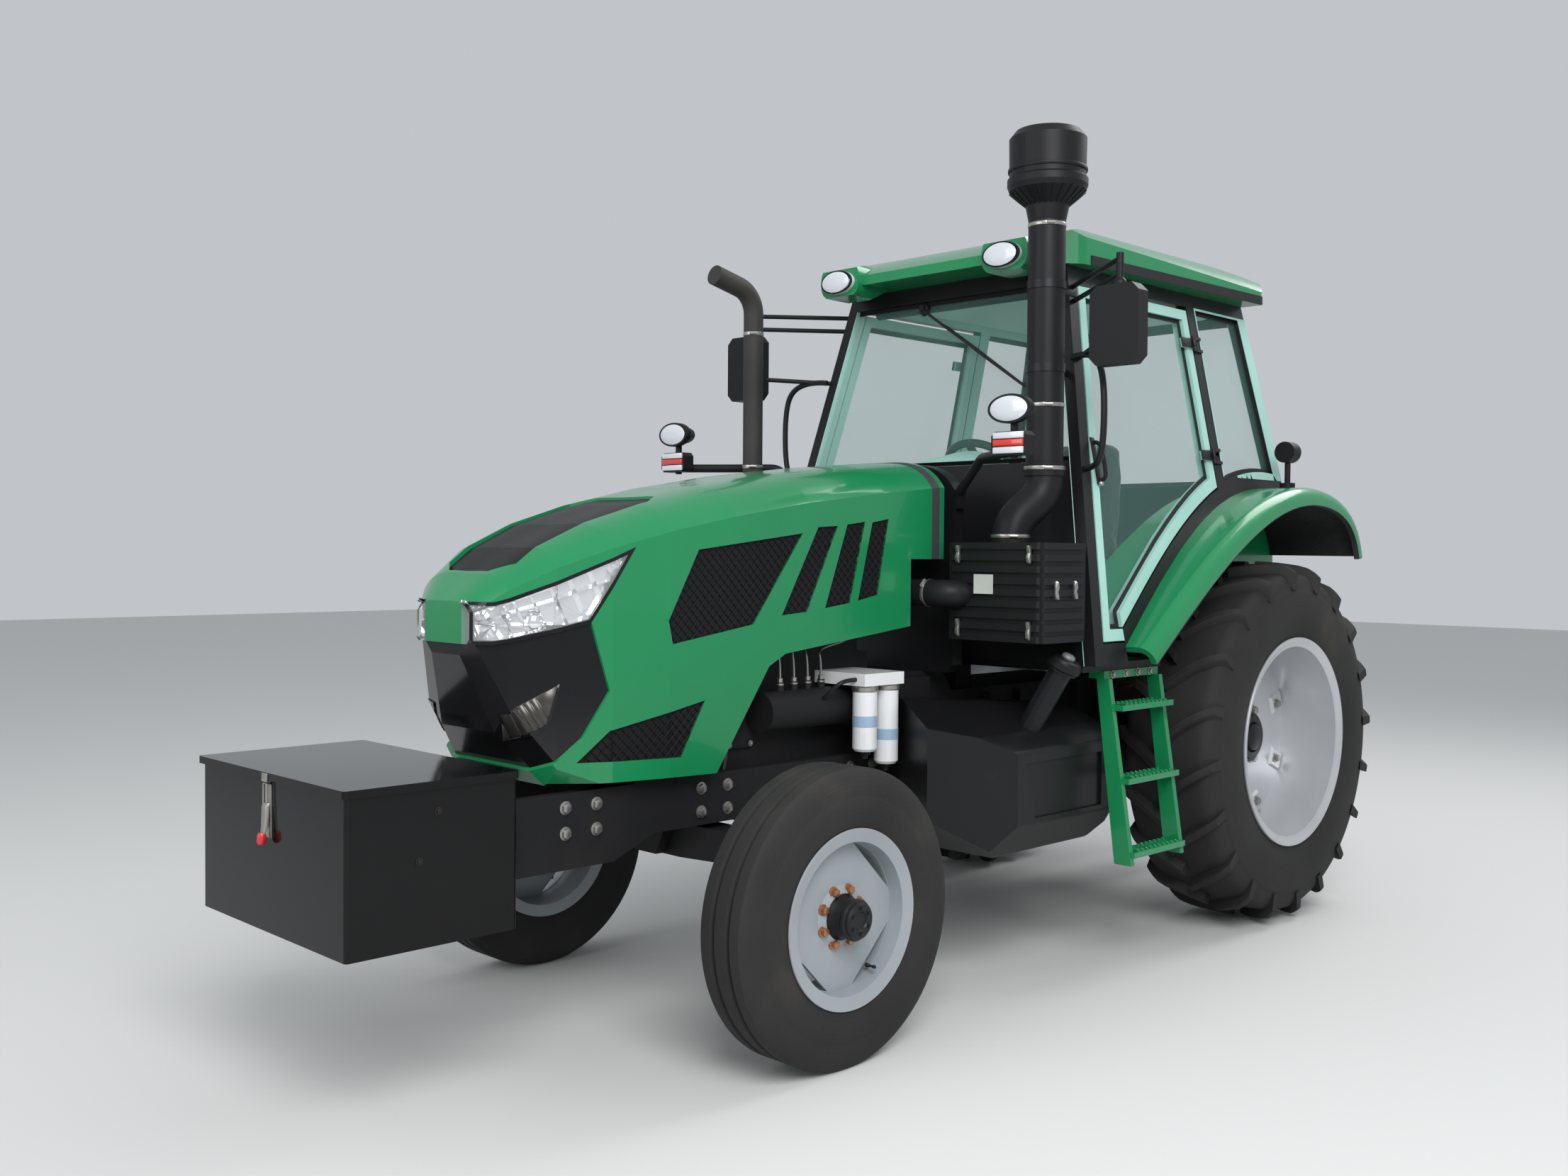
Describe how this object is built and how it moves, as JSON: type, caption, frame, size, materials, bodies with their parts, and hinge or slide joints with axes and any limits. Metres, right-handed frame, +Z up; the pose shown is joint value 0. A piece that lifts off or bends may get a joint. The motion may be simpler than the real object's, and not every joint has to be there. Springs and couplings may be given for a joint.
{
  "type": "farm tractor with cab",
  "caption": "Two-wheel-drive farm tractor with a glazed cab, green bonnet and fenders, a black ballast box on the nose and a rear three-point lift.",
  "frame": {"origin": "On the ground below the middle of the whole machine's length and width", "axes": "+X forward, +Y to the driver's left, +Z up"},
  "size_m": [5.3259, 2.21, 3.25],
  "materials": {
    "green_paint": "gloss",
    "black_paint": "satin",
    "rim_silver": "satin",
    "tyre_rubber": "matte",
    "black_plastic": "satin",
    "lamp_glass": "gloss",
    "tinted_glass": "gloss",
    "seat_fabric": "matte",
    "exhaust_steel": "matte",
    "filter_white": "gloss"
  },
  "bodies": {
    "chassis": {"air_cleaner": "black_plastic", "ballast_box": "black_paint", "bulkhead": "black_paint", "cab_floor": "black_paint", "cab_frame": "black_paint", "cab_glass": "tinted_glass", "cab_roof": "green_paint", "dashboard": "black_plastic", "drawbar": "black_paint", "engine": "black_paint", "exhaust": "exhaust_steel", "fender_lamps": "black_plastic", "fenders": "green_paint", "filters": "filter_white", "front_axle": "black_paint", "front_frame": "black_paint", "fuel_tanks": "black_plastic", "intake": "black_plastic", "mirrors": "black_plastic", "radiator": "black_paint", "rear_axle": "black_paint", "roof_lamps": "lamp_glass", "seat": "seat_fabric", "steps": "green_paint", "transmission": "black_paint", "work_lamps": "black_plastic"},
    "knuckle_left": {"knuckle_left": "black_paint"},
    "knuckle_right": {"knuckle_right": "black_paint"},
    "tie_rod": {"tie_rod": "black_paint"},
    "front_wheel_left": {"front_rim_left": "rim_silver", "front_tyre_left": "tyre_rubber"},
    "front_wheel_right": {"front_rim_right": "rim_silver", "front_tyre_right": "tyre_rubber"},
    "rear_wheel_left": {"rear_rim_left": "rim_silver", "rear_tyre_left": "tyre_rubber"},
    "rear_wheel_right": {"rear_rim_right": "rim_silver", "rear_tyre_right": "tyre_rubber"},
    "bonnet": {"hood": "green_paint", "grille_mask": "black_plastic", "headlamps": "lamp_glass", "hood_vents": "black_plastic"},
    "box_lid": {"box_lid": "black_paint"},
    "door_left": {"door_left": "black_paint", "door_glass_left": "tinted_glass"},
    "door_right": {"door_right": "black_paint", "door_glass_right": "tinted_glass"},
    "lower_links": {"lower_links": "black_paint"},
    "lift_arms": {"lift_arms": "black_paint"},
    "lift_rods": {"lift_rods": "black_paint"}
  },
  "joints": [
    {"name": "steer", "type": "hinge", "parent": "chassis", "child": "knuckle_left", "pos_m": [1.177, 0.64, 0.6], "axis": [0, 0, 1], "range_deg": [-45, 45]},
    {"name": "steer_right", "type": "hinge", "parent": "chassis", "child": "knuckle_right", "pos_m": [1.177, -0.64, 0.6], "axis": [0, 0, 1], "range_deg": [-45, 45]},
    {"name": "tie", "type": "hinge", "parent": "knuckle_left", "child": "tie_rod", "pos_m": [0.987, 0.64, 0.53], "axis": [0, 0, 1], "range_deg": [-45, 45]},
    {"name": "front_wheel_left", "type": "hinge", "parent": "knuckle_left", "child": "front_wheel_left", "pos_m": [1.177, 0.81, 0.475], "axis": [0, 1, 0], "continuous": true},
    {"name": "front_wheel_right", "type": "hinge", "parent": "knuckle_right", "child": "front_wheel_right", "pos_m": [1.177, -0.81, 0.475], "axis": [0, 1, 0], "continuous": true},
    {"name": "rear_wheel_left", "type": "hinge", "parent": "chassis", "child": "rear_wheel_left", "pos_m": [-1.603, 0.795, 0.8], "axis": [0, 1, 0], "continuous": true},
    {"name": "rear_wheel_right", "type": "hinge", "parent": "chassis", "child": "rear_wheel_right", "pos_m": [-1.603, -0.795, 0.8], "axis": [0, 1, 0], "continuous": true},
    {"name": "bonnet_lift", "type": "hinge", "parent": "chassis", "child": "bonnet", "pos_m": [0.117, 0, 1.915], "axis": [0, -1, 0], "range_deg": [0, 45]},
    {"name": "lid_lift", "type": "hinge", "parent": "chassis", "child": "box_lid", "pos_m": [2.101, 0, 0.9653], "axis": [0, -1, 0], "range_deg": [0, 70]},
    {"name": "door_swing_left", "type": "hinge", "parent": "chassis", "child": "door_left", "pos_m": [-1.313, 0.722, 2.2], "axis": [0, -0.2055, 0.9787], "range_deg": [0, 75]},
    {"name": "door_swing_right", "type": "hinge", "parent": "chassis", "child": "door_right", "pos_m": [-1.313, -0.722, 2.2], "axis": [0, -0.2055, -0.9787], "range_deg": [0, 75]},
    {"name": "link_lift", "type": "hinge", "parent": "chassis", "child": "lower_links", "pos_m": [-1.763, 0, 0.56], "axis": [0, 1, 0], "range_deg": [-18, 32]},
    {"name": "arm_lift", "type": "hinge", "parent": "chassis", "child": "lift_arms", "pos_m": [-1.763, 0, 1.08], "axis": [0, 1, 0], "range_deg": [-18, 32]},
    {"name": "rod_swing", "type": "hinge", "parent": "lift_arms", "child": "lift_rods", "pos_m": [-2.193, 0, 1.08], "axis": [0, 1, 0], "range_deg": [-32, 18]}
  ],
  "couplings": [
    {"joint": "steer_right", "follows": "steer", "ratio": 1},
    {"joint": "tie", "follows": "steer", "ratio": -1},
    {"joint": "arm_lift", "follows": "link_lift", "ratio": 1},
    {"joint": "rod_swing", "follows": "link_lift", "ratio": -1}
  ]
}
